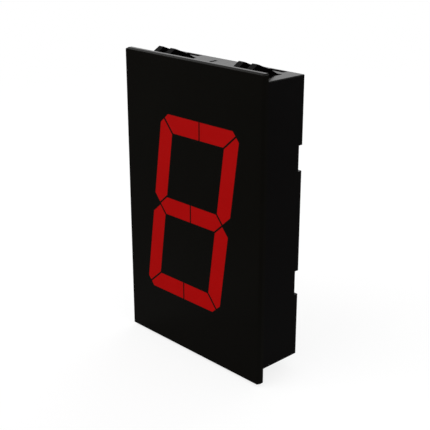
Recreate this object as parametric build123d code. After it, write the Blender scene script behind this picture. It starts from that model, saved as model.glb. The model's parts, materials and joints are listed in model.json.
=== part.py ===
from build123d import *
import math
import os

# Sixteen-segment display unit for panel mounting: a 60 x 96 mm bezel that shows one 60 mm character.
# Frame: the origin is the centre of the bezel's rear face, which lies against the panel.
# +X is to the right as seen from the front, +Y goes rearwards through the panel, +Z is up.
# All lengths are in millimetres.

# --- bezel plate
BEZEL_W = 60.0
BEZEL_H = 96.0
BEZEL_CORNER = 0.5
RIM_T = 1.1                 # straight part of the bezel's edge, next to the panel
BEVEL_T = 1.2               # bevelled part in front of it
BEVEL_RISE = 0.30           # how much smaller the front face is, on each side
FRONT_EDGE_BREAK = 0.05
SEAT_DEPTH = 0.6            # rebate that the case's front edge sits in
BEZEL_FRONT = -(RIM_T + BEVEL_T)
BEZEL_BACK = -SEAT_DEPTH    # inner face of the plate

# --- case
CASE_W = 55.3
CASE_H = 90.0
CASE_WALL = 1.4
CASE_CORNER = 0.25
CASE_REAR_BREAK = 0.1
REAR_EDGE = 17.5            # 19.8 overall, from the front face
CAVITY_W = CASE_W - 2 * CASE_WALL
CAVITY_H = CASE_H - 2 * CASE_WALL
CAVITY_CORNER = 0.5
CASE_TOP = CASE_H / 2

# --- snap tongues: one left and one right on the top wall, and the same on the bottom wall
TONGUE_X = 17.6             # middle of a tongue
TONGUE_W = 7.65
TONGUE_NOSE_Y = 2.3         # front end of the ribs, the thickest part of the panel slot
TONGUE_CREST_Y = 4.6
TONGUE_KNEE_Y = 9.6         # where the ribs' ramp turns steeper
TONGUE_ROOT_Y = 12.7
TONGUE_CREST = 3.7          # crest above the case wall
TONGUE_KNEE = 1.65          # knee above the case wall
TONGUE_NOSE_FALL = 1.3      # from the crest to the nose
TONGUE_RIB_W = 2.25
TONGUE_T = 1.2
TONGUE_SET_BACK = 1.0       # the tongue's front edge behind the ribs' noses
TONGUE_STEP = 0.6           # height of the nose's foot above the case wall
WINDOW_X = 18.1             # the window round a tongue is wider on its outer side
WINDOW_W = 10.4
WINDOW_FRONT_Y = 2.0

# --- openings and marks in the case walls
CATCH_SLOT_X = 18.25
CATCH_SLOT_W = 6.7
CATCH_SLOT_Y = (14.9, 16.8)
NOTCH_Z = 20.1
NOTCH_H = 8.0
NOTCH_DEPTH = 1.5
GATE_MARK_X = -5.3          # shallow mark of the moulding gate on the top wall
GATE_MARK_Y = 12.6
GATE_MARK_SIZE = (1.3, 2.8, 0.6)

# --- character
CHAR_H = 60.1
CHAR_W = 34.26              # outer width, measured level
STROKE = 5.75
SLANT_DEG = 8.1
SLANT = math.tan(math.radians(SLANT_DEG))
CORNER_CUT = 3.0
MITRE_GAP = 0.5
SPLIT_GAP = 0.38
OUTER_SPLIT_X = 0.33        # the top and bottom bars part a little right of the slanted middle line
UPPER_LEFT_MITRE_SHIFT = 0.38
DIAGONAL_W = 3.4            # level width of the diagonal segments
MIDDLE_STROKE = 4.4
MIDDLE_CUT = 1.3
HALF_W = CHAR_W / 2
HALF_H = CHAR_H / 2

# --- reflector block and lenses
REFLECTOR_W = 46.0
REFLECTOR_H = 64.0
REFLECTOR_T = 5.2
BLOCK_CORNER = 1.0          # corners of the reflector block and of the boards
WELL_INSET = 0.95           # how much each light well narrows towards the board
LENS_PLUG = 1.6             # depth of the resin in the mouth of each well

# --- boards
BOARD_T = 1.6
BOARD_W = 49.0
BOARD_H = 78.0
DISPLAY_BOARD_Y = BEZEL_BACK + REFLECTOR_T
BOARD_GAP = 3.0
CONTROL_BOARD_Y = DISPLAY_BOARD_Y + BOARD_T + BOARD_GAP
CONTROL_REAR = CONTROL_BOARD_Y + BOARD_T
BOSS_X = 21.5
BOSS_Z = 36.0
BOSS_W = 4.6                # square screw bosses at the corners of the reflector block
SCREW_D = 1.8
SCREW_HOLE_D = 2.3
SCREW_LENGTH = 6.0
SCREW_HEAD_D = 3.7
SCREW_HEAD_T = 1.3
RECESS_SPAN = 2.4           # the cross recess
RECESS_W = 0.5
RECESS_DEPTH = 0.7

# --- connections
PITCH = 2.54
PIN = 0.64
BRIDGE_PINS = 8
BRIDGE_Z = 34.5
SOCKET_COLUMNS = 8
SOCKET_END = 0.25           # moulding beyond the last column of holes
SOCKET_W = SOCKET_COLUMNS * PITCH + 2 * SOCKET_END
SOCKET_H = 5.1
SOCKET_T = 6.4
SOCKET_Z = 24.0
SOCKET_HOLE = 1.0
SOCKET_HOLE_DEPTH = 4.6
TAIL = 1.2                  # how far pins stand out of a board's far side

# --- electronic parts
CHIPS_BY_LETTER = {"a": 2, "b": 4, "c": 4, "d": 2, "e": 4, "f": 4, "g": 2}
CHIPS_BY_LETTER |= {"h": 3, "i": 3, "j": 3, "k": 3, "l": 3, "m": 3}
CHIP_W = 1.6
CHIP_H = 0.8
CHIP_T = 0.7
LEAD_W = 0.42
LEAD_T = 0.2
LEAD_REACH = 1.4
LEAD_SHOULDER = 0.45        # share of the reach where the lead turns down
LEAD_FOOT = 0.6             # share of the reach where its foot begins
LEAD_PITCH = 1.27
DRIVER_W = 12.8
DRIVER_H = 7.5
DRIVER_T = 2.3
DRIVER_LEADS = 10
DRIVER_Z = 12.0
ARRAY_X = 15.0
ARRAY_Z = 12.0
ARRAY_SIZE = (3.2, 6.4, 0.6)
CONTROLLER_W = 10.0
CONTROLLER_T = 1.5
CONTROLLER_LEADS = 8
CONTROLLER_PITCH = 0.9
CONTROLLER_Z = 2.0
SUPPLY_X = 14.0
SUPPLY_Z = -4.0
SUPPLY_T = 2.8
CAPACITOR_W = 4.3
CAPACITOR_H = 7.3
TERMINAL_SIZE = (2.4, 1.3, 0.2)
TERMINAL_Z = 3.0
INDUCTOR_W = 6.0
INDUCTOR_CUT = 1.0
WINDING_D = 4.6
WINDING_DEPTH = 0.3

# --- rear cover
COVER_FRONT = 14.5
COVER_T = REAR_EDGE - NOTCH_DEPTH - COVER_FRONT
COVER_PLAY = 0.1
BARB_W = 6.3
BARB_H = 1.0                # how far a barb reaches into its catch slot
BARB_Y = (CATCH_SLOT_Y[0] + COVER_PLAY, CATCH_SLOT_Y[1] - COVER_PLAY)
SOCKET_PLAY = 0.3
VENT_COUNT = 7
VENT_X = 11.5
VENT_W = 16.0
VENT_H = 1.5
VENT_PITCH = 3.2
LEDGE = 2.2                 # reach of the ledges that hold the board's edge and the cover


def block(x0, x1, y0, y1, z0, z1):
    """A box between two corners."""
    middle = Pos((x0 + x1) / 2, (y0 + y1) / 2, (z0 + z1) / 2)
    return middle * Box(x1 - x0, y1 - y0, z1 - z0)


def centred_block(x, z, width, height, y0, y1):
    """A box centred on (x, z), from depth y0 to y1."""
    return block(x - width / 2, x + width / 2, y0, y1, z - height / 2, z + height / 2)


def rounded_plate(width, height, radius, y0, y1):
    """A plate square to Y with rounded corners."""
    outline = Plane.XZ.offset(-y0) * RectangleRounded(width, height, radius)
    return extrude(outline, amount=y1 - y0, dir=(0, 1, 0))


def rod(x, z, diameter, y0, y1):
    """A round rod along Y."""
    outline = Plane.XZ.offset(-y0) * Pos(x, z) * Circle(diameter / 2)
    return extrude(outline, amount=y1 - y0, dir=(0, 1, 0))


def outline_face(points, y):
    """A flat face at depth y with corners at the (x, z) points."""
    return make_face(Polyline(*[(x, y, z) for x, z in points], close=True))


def prism(points, y0, y1):
    """A straight prism along Y."""
    return extrude(outline_face(points, y0), amount=y1 - y0, dir=(0, 1, 0))


def inset(points, distance):
    """The outline with every side moved inwards by the same distance."""
    area = sum(a[0] * b[1] - b[0] * a[1] for a, b in zip(points, points[1:] + points[:1]))
    turn = math.copysign(1.0, area)
    moved = []
    for before, here, after in zip(points[-1:] + points[:-1], points, points[1:] + points[:1]):
        first = Vector(here[0] - before[0], here[1] - before[1]).normalized()
        second = Vector(after[0] - here[0], after[1] - here[1]).normalized()
        normal_sum = Vector(-first.Y - second.Y, first.X + second.X) * turn
        stretch = distance / (1 + first.dot(second))
        moved.append((here[0] + normal_sum.X * stretch, here[1] + normal_sum.Y * stretch))
    return moved


def tapered_prism(points, y0, y1, inset0, inset1):
    """A prism along Y whose outline is inset0 smaller at y0 and inset1 smaller at y1."""
    near = [(x, y0, z) for x, z in inset(points, inset0)]
    far = [(x, y1, z) for x, z in inset(points, inset1)]
    faces = [make_face(Polyline(*near, close=True)), make_face(Polyline(*far, close=True))]
    for a, b, c, d in zip(near, near[1:] + near[:1], far[1:] + far[:1], far):
        faces.append(make_face(Polyline(a, b, c, d, close=True)))
    return Solid(Shell(faces))


def slanted(points):
    """Upright outline points leaned over by the character's slant."""
    return [(u + SLANT * v, v) for u, v in points]


def mirrored(points, side, level):
    """Points of the upper right quarter turned into another quarter."""
    return [(side * u, level * v) for u, v in points]


def bar_outline(side, level):
    """Half of the top or bottom bar: a mitred, corner-cut end and an upright split."""
    mitre = MITRE_GAP / math.sqrt(2)
    along = (CORNER_CUT - mitre) / 2
    end = mirrored(
        [
            (HALF_W - STROKE - mitre, HALF_H - STROKE),
            (HALF_W - along - mitre, HALF_H - along),
            (HALF_W - CORNER_CUT, HALF_H),
        ],
        side,
        level,
    )
    split = level * SLANT * (HALF_H - STROKE / 2) + OUTER_SPLIT_X + side * SPLIT_GAP / 2
    outer = (split, level * HALF_H)
    inner = (split, level * (HALF_H - STROKE))
    return slanted(end) + [outer, inner]


def upright_outline(side, level, mitre_shift=0.0):
    """One of the four outer uprights, mitred to a bar above and to the middle bar below."""
    mitre = MITRE_GAP / math.sqrt(2)
    along = (CORNER_CUT + mitre) / 2
    foot = mitre + mitre_shift
    corners = [
        (HALF_W, HALF_H - CORNER_CUT),
        (HALF_W - along + mitre, HALF_H - along),
        (HALF_W - STROKE, HALF_H - STROKE - mitre),
        (HALF_W - STROKE, STROKE / 2 + foot),
        (HALF_W - STROKE / 2 + mitre_shift / 2, mitre + mitre_shift / 2),
        (HALF_W, STROKE / 2 + mitre),
    ]
    return slanted(mirrored(corners, side, level))


def middle_bar_outline(side, upper_shift=0.0):
    """Half of the middle bar: a pointed end and an upright split."""
    mitre = MITRE_GAP / math.sqrt(2)
    tip = HALF_W - STROKE / 2 - mitre
    shoulder = HALF_W - STROKE - mitre
    end = [
        (side * shoulder, -STROKE / 2),
        (side * (tip + upper_shift / 2), upper_shift / 2),
        (side * (shoulder + upper_shift), STROKE / 2),
    ]
    split = side * SPLIT_GAP / 2
    return slanted(end) + [(split, STROKE / 2), (split, -STROKE / 2)]


def diagonal_outline(side, level):
    """A diagonal from the inner corner of the frame to the middle of the character."""
    mitre = MITRE_GAP / math.sqrt(2)
    outer_u = HALF_W - STROKE - mitre
    outer_v = HALF_H - STROKE - mitre
    inner_u = MIDDLE_STROKE / 2 + mitre
    inner_v = STROKE / 2 + mitre
    rise = DIAGONAL_W * (outer_v - inner_v) / (outer_u - inner_u)
    corners = [
        (outer_u, outer_v),
        (outer_u - DIAGONAL_W, outer_v),
        (inner_u, inner_v + rise),
        (inner_u, inner_v),
        (inner_u + DIAGONAL_W, inner_v),
        (outer_u, outer_v - rise),
    ]
    return slanted(mirrored(corners, side, level))


def middle_upright_outline(level):
    """The upper or lower middle upright, with its four corners cut."""
    mitre = MITRE_GAP / math.sqrt(2)
    low = STROKE / 2 + mitre
    high = HALF_H - STROKE - mitre
    half = MIDDLE_STROKE / 2
    right = [
        (half - MIDDLE_CUT, low),
        (half, low + MIDDLE_CUT),
        (half, high - MIDDLE_CUT),
        (half - MIDDLE_CUT, high),
    ]
    left = [(-u, v) for u, v in reversed(right)]
    return slanted(mirrored(right + left, 1, level))


def segment_outlines():
    """The sixteen segments by their usual letters, seen from the front."""
    shift = UPPER_LEFT_MITRE_SHIFT
    return {
        "a1": bar_outline(-1, 1),
        "a2": bar_outline(1, 1),
        "b": upright_outline(1, 1),
        "c": upright_outline(1, -1),
        "d1": bar_outline(-1, -1),
        "d2": bar_outline(1, -1),
        "e": upright_outline(-1, -1),
        "f": upright_outline(-1, 1, shift),
        "g1": middle_bar_outline(-1, shift),
        "g2": middle_bar_outline(1),
        "h": diagonal_outline(-1, 1),
        "i": middle_upright_outline(1),
        "j": diagonal_outline(1, 1),
        "k": diagonal_outline(1, -1),
        "l": middle_upright_outline(-1),
        "m": diagonal_outline(-1, -1),
    }


def four_corners(x, z):
    """The places (x, z) in all four quarters."""
    return [(side * x, level * z) for side in (-1, 1) for level in (-1, 1)]


def bezel(outlines):
    """The front plate: bevelled edge, sixteen apertures and a rebate that takes the case."""
    rim = rounded_plate(BEZEL_W, BEZEL_H, BEZEL_CORNER, -RIM_T, 0)
    rim_outline = Plane.XZ.offset(RIM_T) * RectangleRounded(BEZEL_W, BEZEL_H, BEZEL_CORNER)
    bevel_angle = math.degrees(math.atan2(BEVEL_RISE, BEVEL_T))
    plate = rim + extrude(rim_outline, amount=BEVEL_T, taper=bevel_angle)
    front_edges = plate.edges().filter_by_position(Axis.Y, BEZEL_FRONT - 0.01, BEZEL_FRONT + 0.01)
    plate = chamfer(front_edges, FRONT_EDGE_BREAK)
    plate -= rounded_plate(CASE_W, CASE_H, CASE_CORNER, BEZEL_BACK, 0)
    for outline in outlines.values():
        plate -= prism(outline, BEZEL_FRONT, BEZEL_BACK)
    return plate


def lens(outline):
    """One segment: resin flush with the front face, with a plug in the mouth of its light well."""
    face = prism(outline, BEZEL_FRONT, BEZEL_BACK)
    plug_end = WELL_INSET * LENS_PLUG / REFLECTOR_T
    plug = tapered_prism(outline, BEZEL_BACK, BEZEL_BACK + LENS_PLUG, 0, plug_end)
    return face + plug


def reflector(outlines):
    """The white block: a tapered light well behind every segment and a screw boss at each corner."""
    body = rounded_plate(REFLECTOR_W, REFLECTOR_H, BLOCK_CORNER, BEZEL_BACK, DISPLAY_BOARD_Y)
    length = BOSS_Z + BOSS_W / 2
    for side, level in four_corners(1, 1):
        z = level * length / 2
        body += centred_block(side * BOSS_X, z, BOSS_W, length, BEZEL_BACK, DISPLAY_BOARD_Y)
    for x, z in four_corners(BOSS_X, BOSS_Z):
        body -= rod(x, z, SCREW_D, DISPLAY_BOARD_Y + BOARD_T - SCREW_LENGTH, DISPLAY_BOARD_Y)
    for outline in outlines.values():
        body -= tapered_prism(outline, BEZEL_BACK, DISPLAY_BOARD_Y, 0, WELL_INSET)
    return body


def tongue(side, level):
    """A sprung tongue in the case wall that carries two wedge-shaped ribs."""
    under = CASE_TOP - TONGUE_T
    middle = side * TONGUE_X
    front = TONGUE_NOSE_Y + TONGUE_SET_BACK
    solid = centred_block(middle, CASE_TOP - TONGUE_T / 2, TONGUE_W, TONGUE_T, front, TONGUE_ROOT_Y)
    crest = CASE_TOP + TONGUE_CREST
    profile = [
        (TONGUE_ROOT_Y, under),
        (TONGUE_ROOT_Y, CASE_TOP),
        (TONGUE_KNEE_Y, CASE_TOP + TONGUE_KNEE),
        (TONGUE_CREST_Y, crest),
        (TONGUE_NOSE_Y, crest - TONGUE_NOSE_FALL),
        (TONGUE_NOSE_Y, CASE_TOP + TONGUE_STEP),
        (front, under),
    ]
    for edge in (-1, 1):
        x = middle + edge * (TONGUE_W - TONGUE_RIB_W) / 2
        face = make_face(Polyline(*[(x - TONGUE_RIB_W / 2, y, z) for y, z in profile], close=True))
        solid += extrude(face, amount=TONGUE_RIB_W, dir=(1, 0, 0))
    return solid if level > 0 else mirror(solid, about=Plane.XY)


def case():
    """The case moulding: an open box with snap tongues, catch slots, pry notches and cover ledges."""
    shell = rounded_plate(CASE_W, CASE_H, CASE_CORNER, BEZEL_BACK, REAR_EDGE)
    rear_edges = shell.edges().filter_by_position(Axis.Y, REAR_EDGE - 0.01, REAR_EDGE + 0.01)
    shell = chamfer(rear_edges, CASE_REAR_BREAK)
    shell -= rounded_plate(CAVITY_W, CAVITY_H, CAVITY_CORNER, BEZEL_BACK, REAR_EDGE)
    through = 2 * CASE_WALL
    for side, level in four_corners(1, 1):
        wall = level * (CASE_TOP - CASE_WALL / 2)
        shell -= centred_block(side * WINDOW_X, wall, WINDOW_W, through, WINDOW_FRONT_Y, TONGUE_ROOT_Y)
        shell -= centred_block(side * CATCH_SLOT_X, wall, CATCH_SLOT_W, through, *CATCH_SLOT_Y)
        notch = block(0, CASE_W, REAR_EDGE - NOTCH_DEPTH, REAR_EDGE, -NOTCH_H / 2, NOTCH_H / 2)
        notch = notch if side > 0 else mirror(notch, about=Plane.YZ)
        shell -= Pos(0, 0, level * NOTCH_Z) * notch
        shell += tongue(side, level)
    mark_w, mark_l, mark_d = GATE_MARK_SIZE
    shell -= Pos(GATE_MARK_X, GATE_MARK_Y, CASE_TOP) * Box(mark_w, mark_l, 2 * mark_d)
    for side, level in four_corners(1, 1):
        x = side * (CAVITY_W - LEDGE) / 2
        shell += centred_block(x, level * NOTCH_Z, LEDGE, NOTCH_H, CONTROL_REAR, COVER_FRONT)
    return shell


def rear_cover():
    """The cover: a plate with a barb for each catch slot, socket openings and vents."""
    width = CAVITY_W - 2 * COVER_PLAY
    height = CAVITY_H - 2 * COVER_PLAY
    plate = rounded_plate(width, height, CAVITY_CORNER, COVER_FRONT, COVER_FRONT + COVER_T)
    reach = BARB_H + COVER_PLAY
    for side, level in four_corners(1, 1):
        z = level * (height + reach) / 2
        plate += centred_block(side * CATCH_SLOT_X, z, BARB_W, reach, *BARB_Y)
    for level in (-1, 1):
        opening = (SOCKET_W + 2 * SOCKET_PLAY, SOCKET_H + 2 * SOCKET_PLAY)
        plate -= centred_block(0, level * SOCKET_Z, *opening, COVER_FRONT, COVER_FRONT + COVER_T)
    for side in (-1, 1):
        for row in range(VENT_COUNT):
            z = (row - (VENT_COUNT - 1) / 2) * VENT_PITCH
            plate -= centred_block(side * VENT_X, z, VENT_W, VENT_H, COVER_FRONT, COVER_FRONT + COVER_T)
    return plate


def screw(x, z):
    """A self-tapping screw with a cross recess, driven from the rear into a boss."""
    seat = DISPLAY_BOARD_Y + BOARD_T
    body = rod(x, z, SCREW_D, seat - SCREW_LENGTH, seat) + rod(x, z, SCREW_HEAD_D, seat, seat + SCREW_HEAD_T)
    top = seat + SCREW_HEAD_T
    body -= centred_block(x, z, RECESS_SPAN, RECESS_W, top - RECESS_DEPTH, top)
    body -= centred_block(x, z, RECESS_W, RECESS_SPAN, top - RECESS_DEPTH, top)
    return body


def pin_places(columns, rows, z):
    """The (x, z) places of a pin field centred on z."""
    xs = [(column - (columns - 1) / 2) * PITCH for column in range(columns)]
    zs = [z + (row - (rows - 1) / 2) * PITCH for row in range(rows)]
    return [(x, row_z) for x in xs for row_z in zs]


def display_board():
    """The board that carries the light-emitting chips, screwed to the bezel."""
    board = rounded_plate(BOARD_W, BOARD_H, BLOCK_CORNER, DISPLAY_BOARD_Y, DISPLAY_BOARD_Y + BOARD_T)
    for x, z in four_corners(BOSS_X, BOSS_Z):
        board -= rod(x, z, SCREW_HOLE_D, DISPLAY_BOARD_Y, DISPLAY_BOARD_Y + BOARD_T)
    for level in (-1, 1):
        for x, z in pin_places(BRIDGE_PINS, 1, level * BRIDGE_Z):
            board -= centred_block(x, z, PIN, PIN, DISPLAY_BOARD_Y, DISPLAY_BOARD_Y + BOARD_T)
    return board


def control_board():
    """The board behind it with the controller and the two sockets."""
    board = rounded_plate(BOARD_W, BOARD_H, BLOCK_CORNER, CONTROL_BOARD_Y, CONTROL_REAR)
    for level in (-1, 1):
        places = pin_places(BRIDGE_PINS, 1, level * BRIDGE_Z)
        places += pin_places(SOCKET_COLUMNS, 2, level * SOCKET_Z)
        for x, z in places:
            board -= centred_block(x, z, PIN, PIN, CONTROL_BOARD_Y, CONTROL_REAR)
    return board


def chip_places(outline, count):
    """Evenly spaced places (x, z) along the middle line of a segment."""
    width = max(x for x, _ in outline) - min(x for x, _ in outline)
    height = max(z for _, z in outline) - min(z for _, z in outline)
    axis = 0 if width > height else 1
    middle = (max(p[axis] for p in outline) + min(p[axis] for p in outline)) / 2
    ends = []
    for sign in (-1, 1):
        half = [p for p in outline if sign * (p[axis] - middle) > 0]
        ends.append([sum(p[i] for p in half) / len(half) for i in (0, 1)])
    places = []
    for number in range(count):
        share = (number + 0.5) / count
        places.append(tuple(ends[0][i] + share * (ends[1][i] - ends[0][i]) for i in (0, 1)))
    return places


def chips(outlines):
    """The light-emitting chips, in rows behind the segments."""
    solids = []
    for name, outline in outlines.items():
        for x, z in chip_places(outline, CHIPS_BY_LETTER[name[0]]):
            solids.append(centred_block(x, z, CHIP_W, CHIP_H, DISPLAY_BOARD_Y - CHIP_T, DISPLAY_BOARD_Y))
    return Compound(children=solids)


def gull_wing(x, z, side, axis, y_board, height):
    """One flat lead that leaves a chip package at (x, z) and steps down to the board."""
    shoulder = LEAD_REACH * LEAD_SHOULDER
    foot = LEAD_REACH * LEAD_FOOT
    profile = [
        (0, height / 2),
        (shoulder, height / 2),
        (foot, 0),
        (LEAD_REACH, 0),
        (LEAD_REACH, LEAD_T),
        (foot + LEAD_T, LEAD_T),
        (shoulder + LEAD_T, height / 2 + LEAD_T),
        (0, height / 2 + LEAD_T),
    ]
    if axis == "x":
        points = [(x + side * reach, y_board + rise, z - LEAD_W / 2) for reach, rise in profile]
        direction = (0, 0, 1)
    else:
        points = [(x - LEAD_W / 2, y_board + rise, z + side * reach) for reach, rise in profile]
        direction = (1, 0, 0)
    face = make_face(Polyline(*points, close=True))
    return extrude(face, amount=LEAD_W, dir=direction)


def small_outline_chip(x, z, y_board):
    """A driver in a flat package with a row of leads above and below."""
    body = centred_block(x, z, DRIVER_W, DRIVER_H, y_board + LEAD_T, y_board + DRIVER_T)
    for number in range(DRIVER_LEADS):
        lead_x = x + (number - (DRIVER_LEADS - 1) / 2) * LEAD_PITCH
        for side in (-1, 1):
            body += gull_wing(lead_x, z + side * DRIVER_H / 2, side, "z", y_board, DRIVER_T)
    return body


def square_chip(x, z, y_board):
    """The controller in a square package with leads on all four sides."""
    body = centred_block(x, z, CONTROLLER_W, CONTROLLER_W, y_board + LEAD_T, y_board + CONTROLLER_T)
    for number in range(CONTROLLER_LEADS):
        shift = (number - (CONTROLLER_LEADS - 1) / 2) * CONTROLLER_PITCH
        for side in (-1, 1):
            edge = side * CONTROLLER_W / 2
            body += gull_wing(x + edge, z + shift, side, "x", y_board, CONTROLLER_T)
            body += gull_wing(x + shift, z + edge, side, "z", y_board, CONTROLLER_T)
    return body


def resistor_arrays():
    """Four flat arrays that set the current of the segments."""
    width, height, thick = ARRAY_SIZE
    y0 = DISPLAY_BOARD_Y + BOARD_T
    places = four_corners(ARRAY_X, ARRAY_Z)
    return Compound(children=[centred_block(x, z, width, height, y0, y0 + thick) for x, z in places])


def supply_capacitor():
    """A moulded capacitor: a body with a terminal folded under each end."""
    width, height, thick = TERMINAL_SIZE
    y0 = CONTROL_REAR + thick
    body = centred_block(SUPPLY_X, SUPPLY_Z, CAPACITOR_W, CAPACITOR_H, y0, CONTROL_REAR + SUPPLY_T)
    for side in (-1, 1):
        z = SUPPLY_Z + side * TERMINAL_Z
        body += centred_block(SUPPLY_X, z, width, height, CONTROL_REAR, y0)
    return body


def supply_inductor():
    """A shielded inductor: a square block with cut corners and a round winding window."""
    top = CONTROL_REAR + SUPPLY_T
    body = centred_block(-SUPPLY_X, SUPPLY_Z, INDUCTOR_W, INDUCTOR_W, CONTROL_REAR, top)
    body = chamfer(body.edges().filter_by(Axis.Y), INDUCTOR_CUT)
    return body - rod(-SUPPLY_X, SUPPLY_Z, WINDING_D, top - WINDING_DEPTH, top)


def bridge_strip(level):
    """A moulded strip that spaces the two boards and holds a row of pins."""
    y0 = DISPLAY_BOARD_Y + BOARD_T
    strip = centred_block(0, level * BRIDGE_Z, BRIDGE_PINS * PITCH, PITCH, y0, CONTROL_BOARD_Y)
    for x, z in pin_places(BRIDGE_PINS, 1, level * BRIDGE_Z):
        strip -= centred_block(x, z, PIN, PIN, y0, CONTROL_BOARD_Y)
    return strip


def bridge_pins():
    """The pins that join the two boards, standing a little out of each."""
    places = [place for level in (-1, 1) for place in pin_places(BRIDGE_PINS, 1, level * BRIDGE_Z)]
    y0 = DISPLAY_BOARD_Y - TAIL
    y1 = CONTROL_REAR + TAIL
    return Compound(children=[centred_block(x, z, PIN, PIN, y0, y1) for x, z in places])


def socket(level):
    """A two-row socket that faces rearwards through the cover."""
    z = level * SOCKET_Z
    body = centred_block(0, z, SOCKET_W, SOCKET_H, CONTROL_REAR, CONTROL_REAR + SOCKET_T)
    floor = CONTROL_REAR + SOCKET_T - SOCKET_HOLE_DEPTH
    for x, pin_z in pin_places(SOCKET_COLUMNS, 2, z):
        body -= centred_block(x, pin_z, SOCKET_HOLE, SOCKET_HOLE, floor, CONTROL_REAR + SOCKET_T)
        body -= centred_block(x, pin_z, PIN, PIN, CONTROL_REAR, floor)
    return body


def socket_contacts(level):
    """The contacts of a socket, soldered through the control board."""
    floor = CONTROL_REAR + SOCKET_T - SOCKET_HOLE_DEPTH
    places = pin_places(SOCKET_COLUMNS, 2, level * SOCKET_Z)
    y0 = CONTROL_BOARD_Y - TAIL
    return Compound(children=[centred_block(x, z, PIN, PIN, y0, floor) for x, z in places])


def main():
    outlines = segment_outlines()
    nodes = {
        "bezel": bezel(outlines),
        "reflector_block": reflector(outlines),
        "case": case(),
        "rear_cover": rear_cover(),
        "display_board": display_board(),
        "light_chips": chips(outlines),
        "segment_driver_upper": small_outline_chip(0, DRIVER_Z, DISPLAY_BOARD_Y + BOARD_T),
        "segment_driver_lower": small_outline_chip(0, -DRIVER_Z, DISPLAY_BOARD_Y + BOARD_T),
        "resistor_arrays": resistor_arrays(),
        "control_board": control_board(),
        "controller": square_chip(0, CONTROLLER_Z, CONTROL_REAR),
        "supply_capacitor": supply_capacitor(),
        "supply_inductor": supply_inductor(),
        "bridge_strip_upper": bridge_strip(1),
        "bridge_strip_lower": bridge_strip(-1),
        "bridge_pins": bridge_pins(),
        "socket_upper": socket(1),
        "socket_lower": socket(-1),
        "socket_contacts_upper": socket_contacts(1),
        "socket_contacts_lower": socket_contacts(-1),
        "board_screws": Compound(children=[screw(x, z) for x, z in four_corners(BOSS_X, BOSS_Z)]),
    }
    for name, outline in outlines.items():
        nodes["segment_" + name] = lens(outline)
    os.makedirs("parts", exist_ok=True)
    for name, shape in nodes.items():
        export_step(shape, os.path.join("parts", name + ".step"))
        print(name, round(shape.volume, 1), "cubic mm")


main()
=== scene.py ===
# %% [markdown]
# A sixteen-segment display for a panel: a black bezel with one leaning character, most of whose segments
# are lit red, on a shallow black case with snap tongues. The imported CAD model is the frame. It already has
# the right shapes, so this script gives it light, a camera, finishes and the small details that solids
# leave out. Everything is in metres, +X to the right from the front, +Y rearwards, +Z up.

# %% Load the frame
import json
import math

import bpy
import numpy as np
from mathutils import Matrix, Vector


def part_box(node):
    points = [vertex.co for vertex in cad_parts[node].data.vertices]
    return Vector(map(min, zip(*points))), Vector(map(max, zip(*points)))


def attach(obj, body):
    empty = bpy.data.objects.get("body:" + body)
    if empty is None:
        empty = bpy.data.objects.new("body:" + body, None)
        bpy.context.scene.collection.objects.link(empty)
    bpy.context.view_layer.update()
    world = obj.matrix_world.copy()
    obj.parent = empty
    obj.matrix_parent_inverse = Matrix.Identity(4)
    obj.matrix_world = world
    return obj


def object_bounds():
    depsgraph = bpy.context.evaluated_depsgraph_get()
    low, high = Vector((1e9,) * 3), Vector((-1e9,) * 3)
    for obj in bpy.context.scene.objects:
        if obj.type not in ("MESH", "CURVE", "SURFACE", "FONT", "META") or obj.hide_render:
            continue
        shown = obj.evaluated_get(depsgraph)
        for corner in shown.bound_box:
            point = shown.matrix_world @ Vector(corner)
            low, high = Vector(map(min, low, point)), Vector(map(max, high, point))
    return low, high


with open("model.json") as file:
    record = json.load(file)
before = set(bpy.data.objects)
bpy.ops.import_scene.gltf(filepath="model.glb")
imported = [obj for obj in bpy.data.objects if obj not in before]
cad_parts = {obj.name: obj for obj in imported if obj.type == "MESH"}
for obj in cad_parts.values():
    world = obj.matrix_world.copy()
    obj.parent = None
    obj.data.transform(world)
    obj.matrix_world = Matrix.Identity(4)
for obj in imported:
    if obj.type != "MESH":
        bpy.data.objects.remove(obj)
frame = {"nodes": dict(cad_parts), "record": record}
cad_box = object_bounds()
nodes = frame["nodes"]
scene = bpy.context.scene
scene.view_settings.view_transform = "Standard"
MM = 0.001
print(len(nodes), "nodes from the frame")

# %% [markdown]
# Camera. A short telephoto lens about 30 cm away sees the display from the right and a little above. The
# camera is placed by its heading, its height and its distance from the point that it aims at, because
# those are the numbers that one would change to move it.

# %% Camera
LENS_MM = 77.67
AIM = Vector((4.31, 4.14, -0.74)) * MM
DISTANCE = 289.08 * MM
HEADING_DEG = 46.41     # from straight in front towards the right
HEIGHT_DEG = 19.95


def direction(heading_deg, height_deg):
    """The unit vector from the object towards a viewer: heading from -Y towards +X, height above level."""
    heading, height = math.radians(heading_deg), math.radians(height_deg)
    level = math.cos(height)
    return Vector((math.sin(heading) * level, -math.cos(heading) * level, math.sin(height)))


def aim(thing, place, target):
    """Puts a lamp or camera at a place and turns its -Z axis towards the target."""
    thing.location = place
    thing.rotation_euler = (target - place).to_track_quat("-Z", "Y").to_euler()


camera = bpy.data.objects.new("camera", bpy.data.cameras.new("camera"))
scene.collection.objects.link(camera)
camera.data.lens = LENS_MM
camera.data.clip_start = 0.01
aim(camera, AIM + DISTANCE * direction(HEADING_DEG, HEIGHT_DEG), AIM)
scene.camera = camera
print("camera at", [round(c / MM, 1) for c in camera.location], "mm")

# %% [markdown]
# Sockets. A finish is worked out as an expression, such as 0.3 + 0.1 * cloud, and each step of it becomes
# a Math node. A small class wraps a socket and overloads the operators for that.

# %% Sockets


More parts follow.
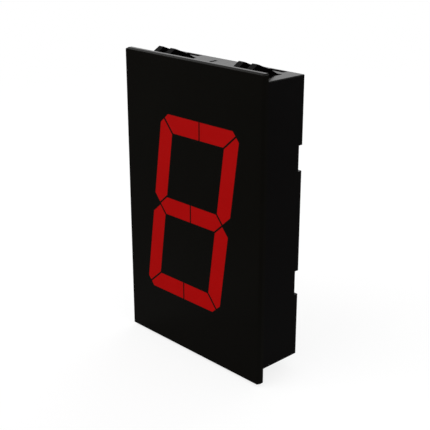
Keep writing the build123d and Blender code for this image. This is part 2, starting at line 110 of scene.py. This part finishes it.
class Socket:
    """An output in a node tree. Arithmetic on it adds Math nodes."""

    def __init__(self, tree, output):
        self.tree = tree
        self.output = output

    def math(self, operation, first, second):
        """The output of a Math node that does this operation."""
        return self.tree.node("ShaderNodeMath", {"operation": operation}, {0: first, 1: second})

    def __add__(self, other):
        return self.math("ADD", self, other)

    def __radd__(self, other):
        return self.math("ADD", other, self)

    def __sub__(self, other):
        return self.math("SUBTRACT", self, other)

    def __rsub__(self, other):
        return self.math("SUBTRACT", other, self)

    def __mul__(self, other):
        return self.math("MULTIPLY", self, other)

    def __rmul__(self, other):
        return self.math("MULTIPLY", other, self)

    def __pow__(self, other):
        return self.math("POWER", self, other)

    def above(self, limit):
        """1 where the value is over the limit, otherwise 0."""
        return self.math("GREATER_THAN", self, limit)

    def at_most(self, limit):
        """The smaller of the value and the limit."""
        return self.math("MINIMUM", self, limit)

    def whole(self):
        """The value rounded down."""
        return self.math("FLOOR", self, 0.0)

    def size(self):
        """The value without its sign."""
        return self.math("ABSOLUTE", self, 0.0)

    def from_middle(self):
        """How far the value is from the middle of the whole step that it is in, from 0 to 0.5."""
        return (self - self.whole() - 0.5).size()


print("sockets ready")

# %% [markdown]
# Node trees. Every node comes from one method, which takes the node's type, its settings and the values or
# links of its sockets. The other methods are the few patterns that the finishes share: noise, a blend of
# two colours, a bump, and two uses of the Bevel node. One turns the normal near an edge, as a small radius
# would. The other says how near an edge is, because at a square edge a rounded normal leans by half a
# right angle, and farther away it doesn't lean at all.

# %% Node trees
HALF_TURNED = 1 - math.cos(math.radians(45))


class Tree:
    """The node tree of a material or of the world."""

    def __init__(self, owner):
        owner.use_nodes = True
        self.owner = owner
        self.nodes = owner.node_tree.nodes
        self.links = owner.node_tree.links
        self.nodes.clear()

    def node(self, kind, settings=None, sockets=None, output=0):
        """Adds a node with its settings and what goes into its sockets. Returns one output, if it has any."""
        made = self.nodes.new(kind)
        for name, value in (settings or {}).items():
            if name == "stops":
                self.set_stops(made.color_ramp, value)
            else:
                setattr(made, name, value)
        for name, value in (sockets or {}).items():
            if isinstance(value, Socket):
                self.links.new(value.output, made.inputs[name])
            else:
                made.inputs[name].default_value = value
        return Socket(self, made.outputs[output]) if made.outputs else made

    @staticmethod
    def set_stops(ramp, stops):
        """Gives a colour ramp its (place, colour) stops."""
        while len(ramp.elements) < len(stops):
            ramp.elements.new(1.0)
        for element, (place, colour) in zip(ramp.elements, stops):
            element.position = place
            element.color = colour

    def object_coordinates(self):
        """The place in metres, in the frame that all the nodes share."""
        return self.node("ShaderNodeTexCoord", output="Object")

    def noise(self, size, detail=2.0, roughness=0.5, place=None):
        """Cloudy noise with features of about this size, in metres."""
        place = place or self.object_coordinates()
        sockets = {"Vector": place, "Scale": 1 / size, "Detail": detail, "Roughness": roughness}
        return self.node("ShaderNodeTexNoise", {}, sockets, "Fac")

    def blend(self, factor, first, second):
        """A colour between two colours."""
        settings = {"data_type": "RGBA"}
        return self.node("ShaderNodeMix", settings, {0: factor, 6: first, 7: second}, 2)

    def bump(self, height, depth, normal=None):
        """A normal that follows a height from 0 to 1, which stands for this depth in metres."""
        sockets = {"Height": height, "Distance": depth}
        if normal is not None:
            sockets["Normal"] = normal
        return self.node("ShaderNodeBump", {}, sockets)

    def soft_edges(self, radius):
        """A normal that is turned near an edge, as though the edge had this radius."""
        return self.node("ShaderNodeBevel", {"samples": 4}, {"Radius": radius})

    def near_edge(self, reach):
        """1 at a sharp edge, falling to 0 at this distance from it: how far a rounded normal would turn."""
        rounded = self.node("ShaderNodeBevel", {"samples": 8}, {"Radius": reach})
        flat = self.node("ShaderNodeNewGeometry", output="True Normal")
        settings = {"operation": "DOT_PRODUCT"}
        agreement = self.node("ShaderNodeVectorMath", settings, {0: rounded, 1: flat}, "Value")
        return ((1 - agreement) * (1 / HALF_TURNED)).at_most(1.0)

    def part(self, vector, axis):
        """The X, Y or Z part of a vector."""
        return self.node("ShaderNodeSeparateXYZ", {}, {0: vector}, axis)

    def lottery(self, first, second):
        """A number from 0 to 1, drawn afresh for each pair of whole numbers."""
        pair = self.node("ShaderNodeCombineXYZ", {}, {"X": first, "Y": second})
        settings = {"noise_dimensions": "2D"}
        return self.node("ShaderNodeTexWhiteNoise", settings, {"Vector": pair}, "Value")

    def surface(self, sockets):
        """A Principled surface with these sockets, joined to the material's output."""
        shader = self.node("ShaderNodeBsdfPrincipled", {}, sockets)
        self.node("ShaderNodeOutputMaterial", {}, {"Surface": shader})
        return self.owner


def rgb(red, green, blue):
    """A colour as a socket takes it, fully opaque."""
    return (red, green, blue, 1.0)


def grey(level):
    """A neutral colour."""
    return rgb(level, level, level)


print("node trees ready")

# %% [markdown]
# Light. Black plastic is seen by what it mirrors. A white wall behind the display gives its top faces
# their pale sheen, and a dim room below and in front leaves the upright faces black. The world is that
# room: to mirrors it is bright near the horizon and dimmer higher up, to the camera it is plain white, and
# what is left over lights the object softly from all round. Three soft lamps shape it: a key at the front,
# a fill at the right, and one behind, which reaches only the faces that the others miss. No lamp shows in
# a mirror, so no hard glint crosses the black.

# %% World
WALL_BRIGHTNESS = 0.80      # the horizon in a mirror
CEILING_BRIGHTNESS = 0.16   # overhead in a mirror
ROOM_LIGHT = 0.62           # what the room adds to matt surfaces
WALL_TOP = 0.28             # sine of the height up to which the wall is bright
CEILING_START = 0.46        # and of the height from which the ceiling is dim

world = bpy.data.worlds.new("studio")
scene.world = world
room = Tree(world)
outward = room.node("ShaderNodeTexCoord", output="Generated")
stops = [(WALL_TOP, grey(WALL_BRIGHTNESS)), (CEILING_START, grey(CEILING_BRIGHTNESS))]
mirrored = room.node("ShaderNodeValToRGB", {"stops": stops}, {0: room.part(outward, "Z")})
to_camera = room.node("ShaderNodeLightPath", output="Is Camera Ray")
to_mirror = room.node("ShaderNodeLightPath", output="Is Glossy Ray")
colour = room.blend(to_mirror, grey(ROOM_LIGHT), mirrored)
colour = room.blend(to_camera, colour, grey(1.0))
sky = room.node("ShaderNodeBackground", {}, {"Color": colour})
room.node("ShaderNodeOutputWorld", {}, {"Surface": sky})
print("the wall is", WALL_BRIGHTNESS, "in a mirror, the ceiling", CEILING_BRIGHTNESS)

# %% Lamps
LAMPS = (
    # name, heading, height, distance and side in metres, watts
    ("key", -20.0, 52.0, 0.9, 0.60, 3.6),
    ("fill", 80.0, 30.0, 1.0, 0.70, 2.4),
    ("back", 200.0, 32.0, 1.0, 0.70, 3.6),
)
for name, heading, height, distance, side, watts in LAMPS:
    lamp = bpy.data.objects.new(name, bpy.data.lights.new(name, "AREA"))
    scene.collection.objects.link(lamp)
    lamp.data.size = side
    lamp.data.energy = watts
    lamp.visible_glossy = False
    aim(lamp, AIM + distance * direction(heading, height), AIM)
    print(name, "lamp of", watts, "W")

# %% [markdown]
# Floor. A pale sheet that the display stands on. A share of it is lit by the lamps, so that it keeps the
# object's shadow, and the rest is bright of its own, so that it is nearly as pale as the wall. Farther out
# the lit share fades away, so that no horizon line is left where the sheet ends. Only the camera sees it
# pale: a mirror sees it dark, as it sees a dim room, but a little lighter near the display. That lighter
# patch is a painted pool of light for the bezel's lower front to mirror.

# %% Floor
FLOOR_ACROSS = 6.0
FLOOR_PALE = grey(0.96)
FLOOR_OWN_LIGHT = 0.80      # share of the floor's brightness that no shadow takes away, at the object
FLOOR_FADES_BY = 0.50       # distance at which that share reaches 1
FLOOR_DARK = rgb(0.055, 0.055, 0.054)      # as a mirror sees it
# lighter near the display: a painted pool of light, which only mirrors see
FLOOR_DARK_NEAR = rgb(0.077, 0.077, 0.078)
DARK_NEAR_BY = 0.12         # distance over which the second turns into the first

low = Vector(cad_box[0])
half = FLOOR_ACROSS / 2
sheet = bpy.data.meshes.new("floor")
corners = [(-half, -half, low.z), (half, -half, low.z), (half, half, low.z), (-half, half, low.z)]
sheet.from_pydata(corners, [], [(0, 1, 2, 3)])
floor = bpy.data.objects.new("floor", sheet)
scene.collection.objects.link(floor)
tree = Tree(bpy.data.materials.new("floor"))
lit = tree.node("ShaderNodeBsdfDiffuse", {}, {"Color": FLOOR_PALE})
own = tree.node("ShaderNodeEmission", {}, {"Color": grey(1.0)})
place = tree.object_coordinates()
across, along = tree.part(place, "X"), tree.part(place, "Y")
distance = (across * across + along * along) ** 0.5
own_share = FLOOR_OWN_LIGHT + (1 - FLOOR_OWN_LIGHT) * (distance * (1 / FLOOR_FADES_BY)).at_most(1.0)
pale = tree.node("ShaderNodeMixShader", {}, {0: own_share, 1: lit, 2: own})
# the painted pool of light near the display fades into the floor's dark tone as a mirror sees it
dark_tone = tree.blend((distance * (1 / DARK_NEAR_BY)).at_most(1.0), FLOOR_DARK_NEAR, FLOOR_DARK)
dark = tree.node("ShaderNodeBsdfDiffuse", {}, {"Color": dark_tone})
seen = tree.node("ShaderNodeLightPath", output="Is Camera Ray")
floor_shader = tree.node("ShaderNodeMixShader", {}, {0: seen, 1: dark, 2: pale})
tree.node("ShaderNodeOutputMaterial", {}, {"Surface": floor_shader})
sheet.materials.append(tree.owner)
print("floor at", round(low.z / MM, 2), "mm")

# %% [markdown]
# Black mouldings. The bezel and the case are moulded in the same black plastic. Close up, such plastic is
# never one even black: the tool leaves a very fine grain, the melt leaves broad clouds of gloss, and every
# edge has a tiny radius that catches the light. The grain and the edges go into the normal, and the
# clouds into the roughness and the colour. On the sides of the snap tongues and in the hollow at the
# gate, a mask mixes in a matt black with no sheen. This is painted shade: it keeps those faces black
# instead of letting them mirror the room.

# %% Black mouldings
CLOUD = 22 * MM             # size of the broad clouds of gloss
STREAK = 3 * MM             # and of the smaller ones
CLOUD_GLOSS = 0.08          # how much each changes the roughness, from its least to its most
STREAK_GLOSS = 0.024
CLOUD_TONE = 0.18           # share by which the clouds change the colour to each side
SHEEN = 0.35                # a little less than the usual 0.5
SQUARE_TO = 0.7             # part of a normal along an axis, over which a face counts as square to it
CASE_TOP = 45.0 * MM
GATE = Vector((-5.3, 12.6, 44.7)) * MM          # the middle of the hollow at the gate
GATE_REACH = Vector((0.70, 1.45, 0.29)) * MM    # how far it reaches to each side


def painted_shade_places(tree):
    """1 where a matt black paints shade: tongue sides past the case's top and bottom, and the gate's hollow.
    """
    place = tree.object_coordinates()
    normal = tree.node("ShaderNodeNewGeometry", output="True Normal")
    sideways = tree.part(normal, "X").size().above(SQUARE_TO)
    sides = sideways * tree.part(place, "Z").size().above(CASE_TOP)
    hollow = 1.0
    for axis, middle, reach in zip("XYZ", GATE, GATE_REACH):
        hollow = hollow * (1 - (tree.part(place, axis) - middle).size().above(reach))
    return (sides + hollow).at_most(1.0)


def varied(tree, pattern, colour, spread):
    """A colour that wanders by this share to each side, with a pattern from 0 to 1."""
    darker, lighter = (rgb(*(c * share for c in colour)) for share in (1 - spread, 1 + spread))
    return tree.blend(pattern, darker, lighter)


def moulding(name, colour, roughness, grain_size, grain_depth, edge_radius, painted_shade_where=None):
    """Moulded plastic: fine grain, clouds of gloss, softened edges, and painted shade with a matt black."""
    tree = Tree(bpy.data.materials.new(name))
    clouds = tree.noise(CLOUD, detail=3.0)
    streaks = tree.noise(STREAK, detail=2.0)
    grain = tree.noise(grain_size, detail=4.0, roughness=0.62)
    gloss = roughness + CLOUD_GLOSS * (clouds - 0.5) + STREAK_GLOSS * (streaks - 0.5)
    normal = tree.bump(grain, grain_depth, tree.soft_edges(edge_radius))
    sockets = {
        "Base Color": varied(tree, clouds, colour, CLOUD_TONE),
        "Roughness": gloss,
        "Specular IOR Level": SHEEN,
        "Normal": normal,
    }
    if painted_shade_where is None:
        return tree.surface(sockets)
    glossy = tree.node("ShaderNodeBsdfPrincipled", {}, sockets)
    # a matt black with no sheen: painted shade wherever the mask is 1
    matt_painted_shade = tree.node("ShaderNodeBsdfDiffuse", {}, {"Color": rgb(*colour)})
    mixed = tree.node("ShaderNodeMixShader", {}, {0: painted_shade_where(tree), 1: glossy, 2: matt_painted_shade})
    tree.node("ShaderNodeOutputMaterial", {}, {"Surface": mixed})
    return tree.owner


BLACK = (0.0026, 0.0022, 0.0012)
CASE_BLACK = (0.0016, 0.0012, 0.0013)
PACKAGE_BLACK = (0.0160, 0.0160, 0.0170)
finishes = {
    # name, colour, roughness, size and depth of the grain, radius of the edges, where matt black paints shade
    "bezel": moulding("bezel_black", BLACK, 0.17, 0.22 * MM, 0.0012 * MM, 0.04 * MM),
    # the case paints shade with a matt black on its tongue sides and in the gate's hollow
    "case": moulding("case_black", CASE_BLACK, 0.22, 0.30 * MM, 0.0020 * MM, 0.05 * MM, painted_shade_places),
    "cover": moulding("cover_black", (0.0300, 0.0290, 0.0280), 0.50, 0.35 * MM, 0.0060 * MM, 0.12 * MM),
    "socket": moulding("socket_black", (0.0520, 0.0510, 0.0490), 0.40, 0.20 * MM, 0.0030 * MM, 0.08 * MM),
    "package": moulding("package_black", PACKAGE_BLACK, 0.62, 0.12 * MM, 0.0060 * MM, 0.06 * MM),
    "ferrite": moulding("ferrite_grey", (0.0700, 0.0690, 0.0680), 0.70, 0.25 * MM, 0.0100 * MM, 0.10 * MM),
}
print(len(finishes), "black mouldings")

# %% [markdown]
# Lenses. Each segment is cast resin that spreads the light of the chips behind it, so it glows evenly with
# no hot spot. The resin's face is matt. A lit segment sends out about half of what is seen and scatters
# the room's light for the rest, so it stays red in a dark room too. Its light fades in the last few tenths
# of a millimetre, where the wall of the light well shades the resin, and that draws a dark line round every
# segment. A painted outline would need a map of each lens. Comparing the true normal with a rounded one
# finds the edges of all of them at once. An unlit segment is smoked resin, as black and as smooth as the
# bezel around it.

# %% Lenses
LIT = (0.215, 0.0012, 0.0012)       # what the resin scatters
GLOW = (0.195, 0.0010, 0.0010)      # what it sends out
MATT_SHEEN = 0.12
SHADED_EDGE = 0.45 * MM     # how far the shade of the light well's wall reaches
SHADE = 0.68                # how much of the light is lost at the very edge


def lit_lens():
    """Red resin with a matt face and a faint flow pattern, and a glow that fades at its edges."""
    tree = Tree(bpy.data.materials.new("lens_lit"))
    flow = tree.noise(6 * MM, detail=3.0)
    grain = tree.noise(0.16 * MM, detail=3.0)
    shade = SHADE * tree.near_edge(SHADED_EDGE)
    sockets = {
        "Base Color": tree.blend(shade, varied(tree, flow, LIT, 0.06), grey(0.0)),
        "Roughness": 0.44 + 0.08 * (flow - 0.5),
        "Specular IOR Level": MATT_SHEEN,
        "Normal": tree.bump(grain, 0.0015 * MM),
        "Emission Color": tree.blend(shade, varied(tree, flow, GLOW, 0.05), grey(0.0)),
        "Emission Strength": 1.0,
    }
    return tree.surface(sockets)


finishes["lit_lens"] = lit_lens()
finishes["unlit_lens"] = moulding("lens_unlit", BLACK, 0.18, 0.16 * MM, 0.0015 * MM, 0.02 * MM)
print("lenses ready")

# %% [markdown]
# Light wells. The block behind the lenses is white, so that no light is lost. White plastic is never pure
# white, and a little shading in its colour and gloss keeps its broad faces from looking like paper.

# %% White plastic


def white_plastic():
    """White reflecting plastic with faint shading."""
    tree = Tree(bpy.data.materials.new("well_white"))
    clouds = tree.noise(9 * MM, detail=3.0)
    colour = tree.blend(clouds, rgb(0.80, 0.80, 0.76), rgb(0.87, 0.87, 0.84))
    normal = tree.bump(tree.noise(0.25 * MM), 0.004 * MM, tree.soft_edges(0.12 * MM))
    return tree.surface({"Base Color": colour, "Roughness": 0.42 + 0.1 * clouds, "Normal": normal})


finishes["white_plastic"] = white_plastic()
print("white plastic ready")

# %% [markdown]
# Boards. Copper tracks run under the green solder resist and end in tinned rings round drilled holes. Each
# could be a mesh, but they are only hundredths of a millimetre thick, so a pattern does it. The face is
# divided into upright lanes, and each lane into runs that start at their own height. A draw for each run
# says whether it holds a track, and a ring stands wherever a track ends. The sawn edges show the bare,
# yellowish laminate.

# %% Boards
LANE = 1.27 * MM            # the grid that the tracks keep to
RUN = 9.0 * MM              # how long a track is
EMPTY_RUNS = 0.45           # share of the runs that hold no track
TRACK_W = 0.34 * MM
RING_R = 0.38 * MM
HOLE_R = 0.16 * MM
COPPER_T = 0.02 * MM        # how far tracks and rings stand up, a little more than real copper does
RESIST = rgb(0.008, 0.085, 0.034), rgb(0.012, 0.105, 0.042)
OVER_COPPER = rgb(0.020, 0.165, 0.066)
RING = rgb(0.66, 0.66, 0.63)
LAMINATE = rgb(0.30, 0.29, 0.13)


def board():
    """Green solder resist over copper tracks with rings and holes, and bare laminate at the edges."""
    tree = Tree(bpy.data.materials.new("board_green"))
    place = tree.object_coordinates()
    lane = tree.part(place, "X") * (1 / LANE)
    run = tree.part(place, "Z") * (1 / RUN) + tree.lottery(lane.whole(), 0.0)

    def holds_track(number):
        """1 where this run of the lane holds a track."""
        return tree.lottery(lane.whole(), number).above(EMPTY_RUNS)

    off_line = lane.from_middle() * LANE
    from_end = (0.5 - run.from_middle()) * RUN
    from_hole = (off_line * off_line + from_end * from_end) ** 0.5
    nearest_end = (run + 0.5).whole()
    ends_here = (holds_track(nearest_end) + holds_track(nearest_end - 1)).at_most(1.0)
    track = holds_track(run.whole()) * (1 - off_line.above(TRACK_W / 2))
    ring = ends_here * (1 - from_hole.above(RING_R))
    hole = ends_here * (1 - from_hole.above(HOLE_R))
    normal = tree.node("ShaderNodeNewGeometry", output="True Normal")
    face = tree.part(normal, "Y").size().above(SQUARE_TO)
    clouds = tree.noise(5 * MM)
    colour = tree.blend(track, tree.blend(clouds, *RESIST), OVER_COPPER)
    colour = tree.blend(ring, colour, RING)
    colour = tree.blend(hole, colour, grey(0.01))
    sockets = {
        "Base Color": tree.blend(face, LAMINATE, colour),
        "Roughness": 0.30 + 0.08 * clouds,
        "Metallic": face * (ring - hole),
        "Normal": tree.bump((track + ring).at_most(1.0) - hole, COPPER_T),
    }
    return tree.surface(sockets)


finishes["board"] = board()
print("board ready")

# %% [markdown]
# Metal. Pins are tinned, the socket contacts are plated a pale gold, and the screws are zinc. All three are
# the same finish with other numbers: a slightly cloudy tone, and fine scratches that roughen it.

# %% Plated metal


def metal(name, first, second, roughness, scratch_size):
    """Plated metal with fine scratches and a slightly cloudy tone."""
    tree = Tree(bpy.data.materials.new(name))
    clouds = tree.noise(1.4 * MM, detail=3.0)
    scratches = tree.noise(scratch_size, detail=4.0, roughness=0.7)
    sockets = {
        "Base Color": tree.blend(clouds, rgb(*first), rgb(*second)),
        "Metallic": 1.0,
        "Roughness": roughness + 0.14 * (scratches - 0.5),
        "Normal": tree.bump(scratches, 0.003 * MM, tree.soft_edges(0.05 * MM)),
    }
    return tree.surface(sockets)


TIN = (0.70, 0.70, 0.69)
BRIGHT_TIN = (0.80, 0.80, 0.78)
finishes["tinned_pin"] = metal("pin_tinned", TIN, BRIGHT_TIN, 0.28, 0.10 * MM)
finishes["contact"] = metal("contact_plated", (0.83, 0.60, 0.24), (0.90, 0.69, 0.32), 0.22, 0.08 * MM)
finishes["screw"] = metal("screw_zinc", (0.56, 0.57, 0.58), (0.68, 0.69, 0.70), 0.30, 0.12 * MM)
print("metals ready")

# %% [markdown]
# Electronic parts. The capacitor is ochre epoxy with a dark bar at its positive end and a tinned strip under
# each end. The chips under the lenses are pale resin. The controller and the two drivers are one solid each,
# black package and leads together, so their finish has to tell the two apart: whatever lies in the outermost
# part of the box, where only leads reach, is tin.

# %% Capacitor and light chips
BAR_FROM = 1.5 * MM         # the dark bar, measured down from the positive end
BAR_TO = 0.7 * MM
STRIP_T = 0.2 * MM          # how far the tinned strips lift it off the board
OCHRE = rgb(0.50, 0.27, 0.045), rgb(0.58, 0.33, 0.062)
BAR = rgb(0.10, 0.045, 0.010)


def capacitor_resin():
    """Ochre epoxy with a dark bar, on tinned strips."""
    tree = Tree(bpy.data.materials.new("capacitor_ochre"))
    low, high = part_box("supply_capacitor")
    place = tree.object_coordinates()
    up = tree.part(place, "Z")
    bar = up.above(high.z - BAR_FROM) - up.above(high.z - BAR_TO)
    strip = 1 - tree.part(place, "Y").above(low.y + STRIP_T)
    clouds = tree.noise(0.6 * MM)
    resin = tree.blend(bar, tree.blend(clouds, *OCHRE), BAR)
    colour = tree.blend(strip, resin, rgb(*TIN))
    return tree.surface({"Base Color": colour, "Roughness": 0.45 + 0.1 * clouds, "Metallic": strip})


finishes["capacitor"] = capacitor_resin()
finishes["emitter"] = moulding("emitter_resin", (0.72, 0.63, 0.30), 0.30, 0.10 * MM, 0.0020 * MM, 0.08 * MM)
print(len(finishes), "finishes in all")

# %% Packages with leads
LEAD_REACH = 1.4 * MM       # how far the leads stick out of the package at each side
CLEAR_OF_BODY = 0.01 * MM   # so that the package's own side isn't taken for a lead


def leaded_package(node, axes):
    """Black package and tinned leads, for a node whose leads stick out along these axes."""
    tree = Tree(bpy.data.materials.new(node + "_leaded"))
    place = tree.object_coordinates()
    body = 1.0
    for axis, low, high in zip("XYZ", *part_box(node)):
        if axis in axes:
            from_middle = (tree.part(place, axis) - (low + high) / 2).size()
            body = body * (1 - from_middle.above((high - low) / 2 - LEAD_REACH + CLEAR_OF_BODY))
    lead = 1 - body
    grain = tree.noise(0.12 * MM, detail=4.0)
    sockets = {
        "Base Color": tree.blend(lead, varied(tree, grain, PACKAGE_BLACK, 0.15), rgb(*TIN)),
        "Roughness": 0.58 - 0.28 * lead + 0.06 * grain,
        "Metallic": lead,
        "Normal": tree.bump(grain, 0.004 * MM, tree.soft_edges(0.06 * MM)),
    }
    return tree.surface(sockets)


leaded = {node: leaded_package(node, "Z") for node in ("segment_driver_upper", "segment_driver_lower")}
leaded["controller"] = leaded_package("controller", "XZ")
print(len(leaded), "packages with leads")

# %% [markdown]
# Handing out the finishes. The record says which material slot each node has, so one loop gives every node
# its finish, and a slot with no finish stops the script by name. A node with leads has a finish of its own.

# %% Give each node its finish
slot_of = {part["node"]: part["material_slot"] for part in frame["record"]["subparts"]}
for name, thing in nodes.items():
    thing.data.materials.clear()
    thing.data.materials.append(leaded.get(name, finishes[slot_of[name]]))
print("finishes given to", len(slot_of), "nodes")

# %% [markdown]
# Solder. Every pin that goes through a board is held by a little cone of solder that climbs the pin and
# thins out over the copper round it. A plain cone would have straight sides, and these are hollow. So a
# hollow curve is turned about the pin's axis. All the joints are alike, so one is worked out as an array
# and added to all the places at once.

# %% Turned shapes


def turned(name, radius, height, feet, toward, sides=14):
    """Closed shapes made by turning one outline about lines along Y.

    Point (i, j) of a shape lies at its foot plus (r cos t, toward * h, toward * r sin t), with r and h from
    the outline's row i and t = j full turns / sides. toward is 1 where height grows rearwards and -1 where
    it grows forwards. A flat face closes each end.
    """
    turn = np.linspace(0, 2 * np.pi, sides, endpoint=False)
    r, h = np.array(radius)[:, None], np.array(height)[:, None]
    shape = np.stack([r * np.cos(turn), toward * h + 0 * turn, toward * r * np.sin(turn)], axis=-1)
    points = np.array(feet)[:, None, None, :] + shape
    row, step = np.meshgrid(np.arange(len(r) - 1), np.arange(sides), indexing="ij")
    following = (step + 1) % sides
    corners = [row * sides + step, (row + 1) * sides + step]
    corners += [(row + 1) * sides + following, row * sides + following]
    wall = np.stack(corners, axis=-1).reshape(-1, 4)
    foot, tip = np.arange(sides), np.arange(sides)[::-1] + (len(r) - 1) * sides
    faces = []
    for first in np.arange(len(feet)) * shape[..., 0].size:
        faces += (wall + first).tolist() + [(foot + first).tolist(), (tip + first).tolist()]
    mesh = bpy.data.meshes.new(name)
    mesh.from_pydata(points.reshape(-1, 3).tolist(), [], faces)
    mesh.polygons.foreach_set("use_smooth", [len(face) == 4 for face in faces])
    piece = bpy.data.objects.new(name, mesh)
    scene.collection.objects.link(piece)
    print(name, "has", len(feet), "of them and", len(faces), "faces")
    return piece


def finish_with(piece, slot):
    """Gives a new piece the finish of a slot and fixes it to the display, which is one body."""
    piece.data.materials.append(finishes[slot])
    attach(piece, "root")


print("ready to turn shapes")

# %% Solder joints
PIN_W = 0.64 * MM
SOLDER_FOOT = 0.95 * MM     # radius on the board
SOLDER_TIP = 0.36 * MM      # radius where it ends on the pin
SOLDER_H = 0.90 * MM
SUNK = 0.02 * MM            # how far a foot reaches into what it stands on
PIN_COLUMNS = 8
PIN_ROWS = 2                # the sockets have two rows, and the bridge has one row above and one below


def pin_feet(pins, y):
    """Where a block of pins meets the plane at y: an even grid between the centres of its outermost pins."""
    low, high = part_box(pins)
    across = np.linspace(low.x + PIN_W / 2, high.x - PIN_W / 2, PIN_COLUMNS)
    up = np.linspace(low.z + PIN_W / 2, high.z - PIN_W / 2, PIN_ROWS)
    x, z = np.meshgrid(across, up)
    return np.stack([x.ravel(), np.full(x.size, y), z.ravel()], axis=-1)


rise = np.linspace(0, 1, 6)
hollow = SOLDER_TIP + (SOLDER_FOOT - SOLDER_TIP) * (1 - rise) ** 2
display_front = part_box("display_board")[0].y
control_front, control_rear = (corner.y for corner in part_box("control_board"))
solder = (
    # name, the pins that it holds, the board's face and which way the solder stands out of it
    ("solder_display_board", ["bridge_pins"], display_front, -1),
    ("solder_control_rear", ["bridge_pins"], control_rear, 1),
    ("solder_control_front", ["socket_contacts_upper", "socket_contacts_lower"], control_front, -1),
)
for name, blocks, face_y, toward in solder:
    feet = np.concatenate([pin_feet(pins, face_y - toward * SUNK) for pins in blocks])
    finish_with(turned(name, hollow, rise * SOLDER_H, feet, toward), "tinned_pin")

# %% [markdown]
# Inductor. The square block is a ring of ferrite, and in its round hollow stands the end of the drum that
# carries the wire. It is a flat disc with a rounded rim: a straight side, then a quarter circle.

# %% Inductor drum
DRUM_R = 2.05 * MM
DRUM_RIM = 0.12 * MM        # radius of the rim's rounding
DRUM_RISE = 0.22 * MM       # how far it stands out of the hollow's floor
HOLLOW_DEPTH = 0.30 * MM

low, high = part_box("supply_inductor")
quarter = np.linspace(0, np.pi / 2, 5)
radius = np.append(DRUM_R, DRUM_R - DRUM_RIM * (1 - np.cos(quarter)))
height = np.append(-SUNK, DRUM_RISE - DRUM_RIM * (1 - np.sin(quarter)))
foot = [((low.x + high.x) / 2, high.y - HOLLOW_DEPTH, (low.z + high.z) / 2)]
finish_with(turned("inductor_drum", radius, height, foot, 1, sides=48), "ferrite")
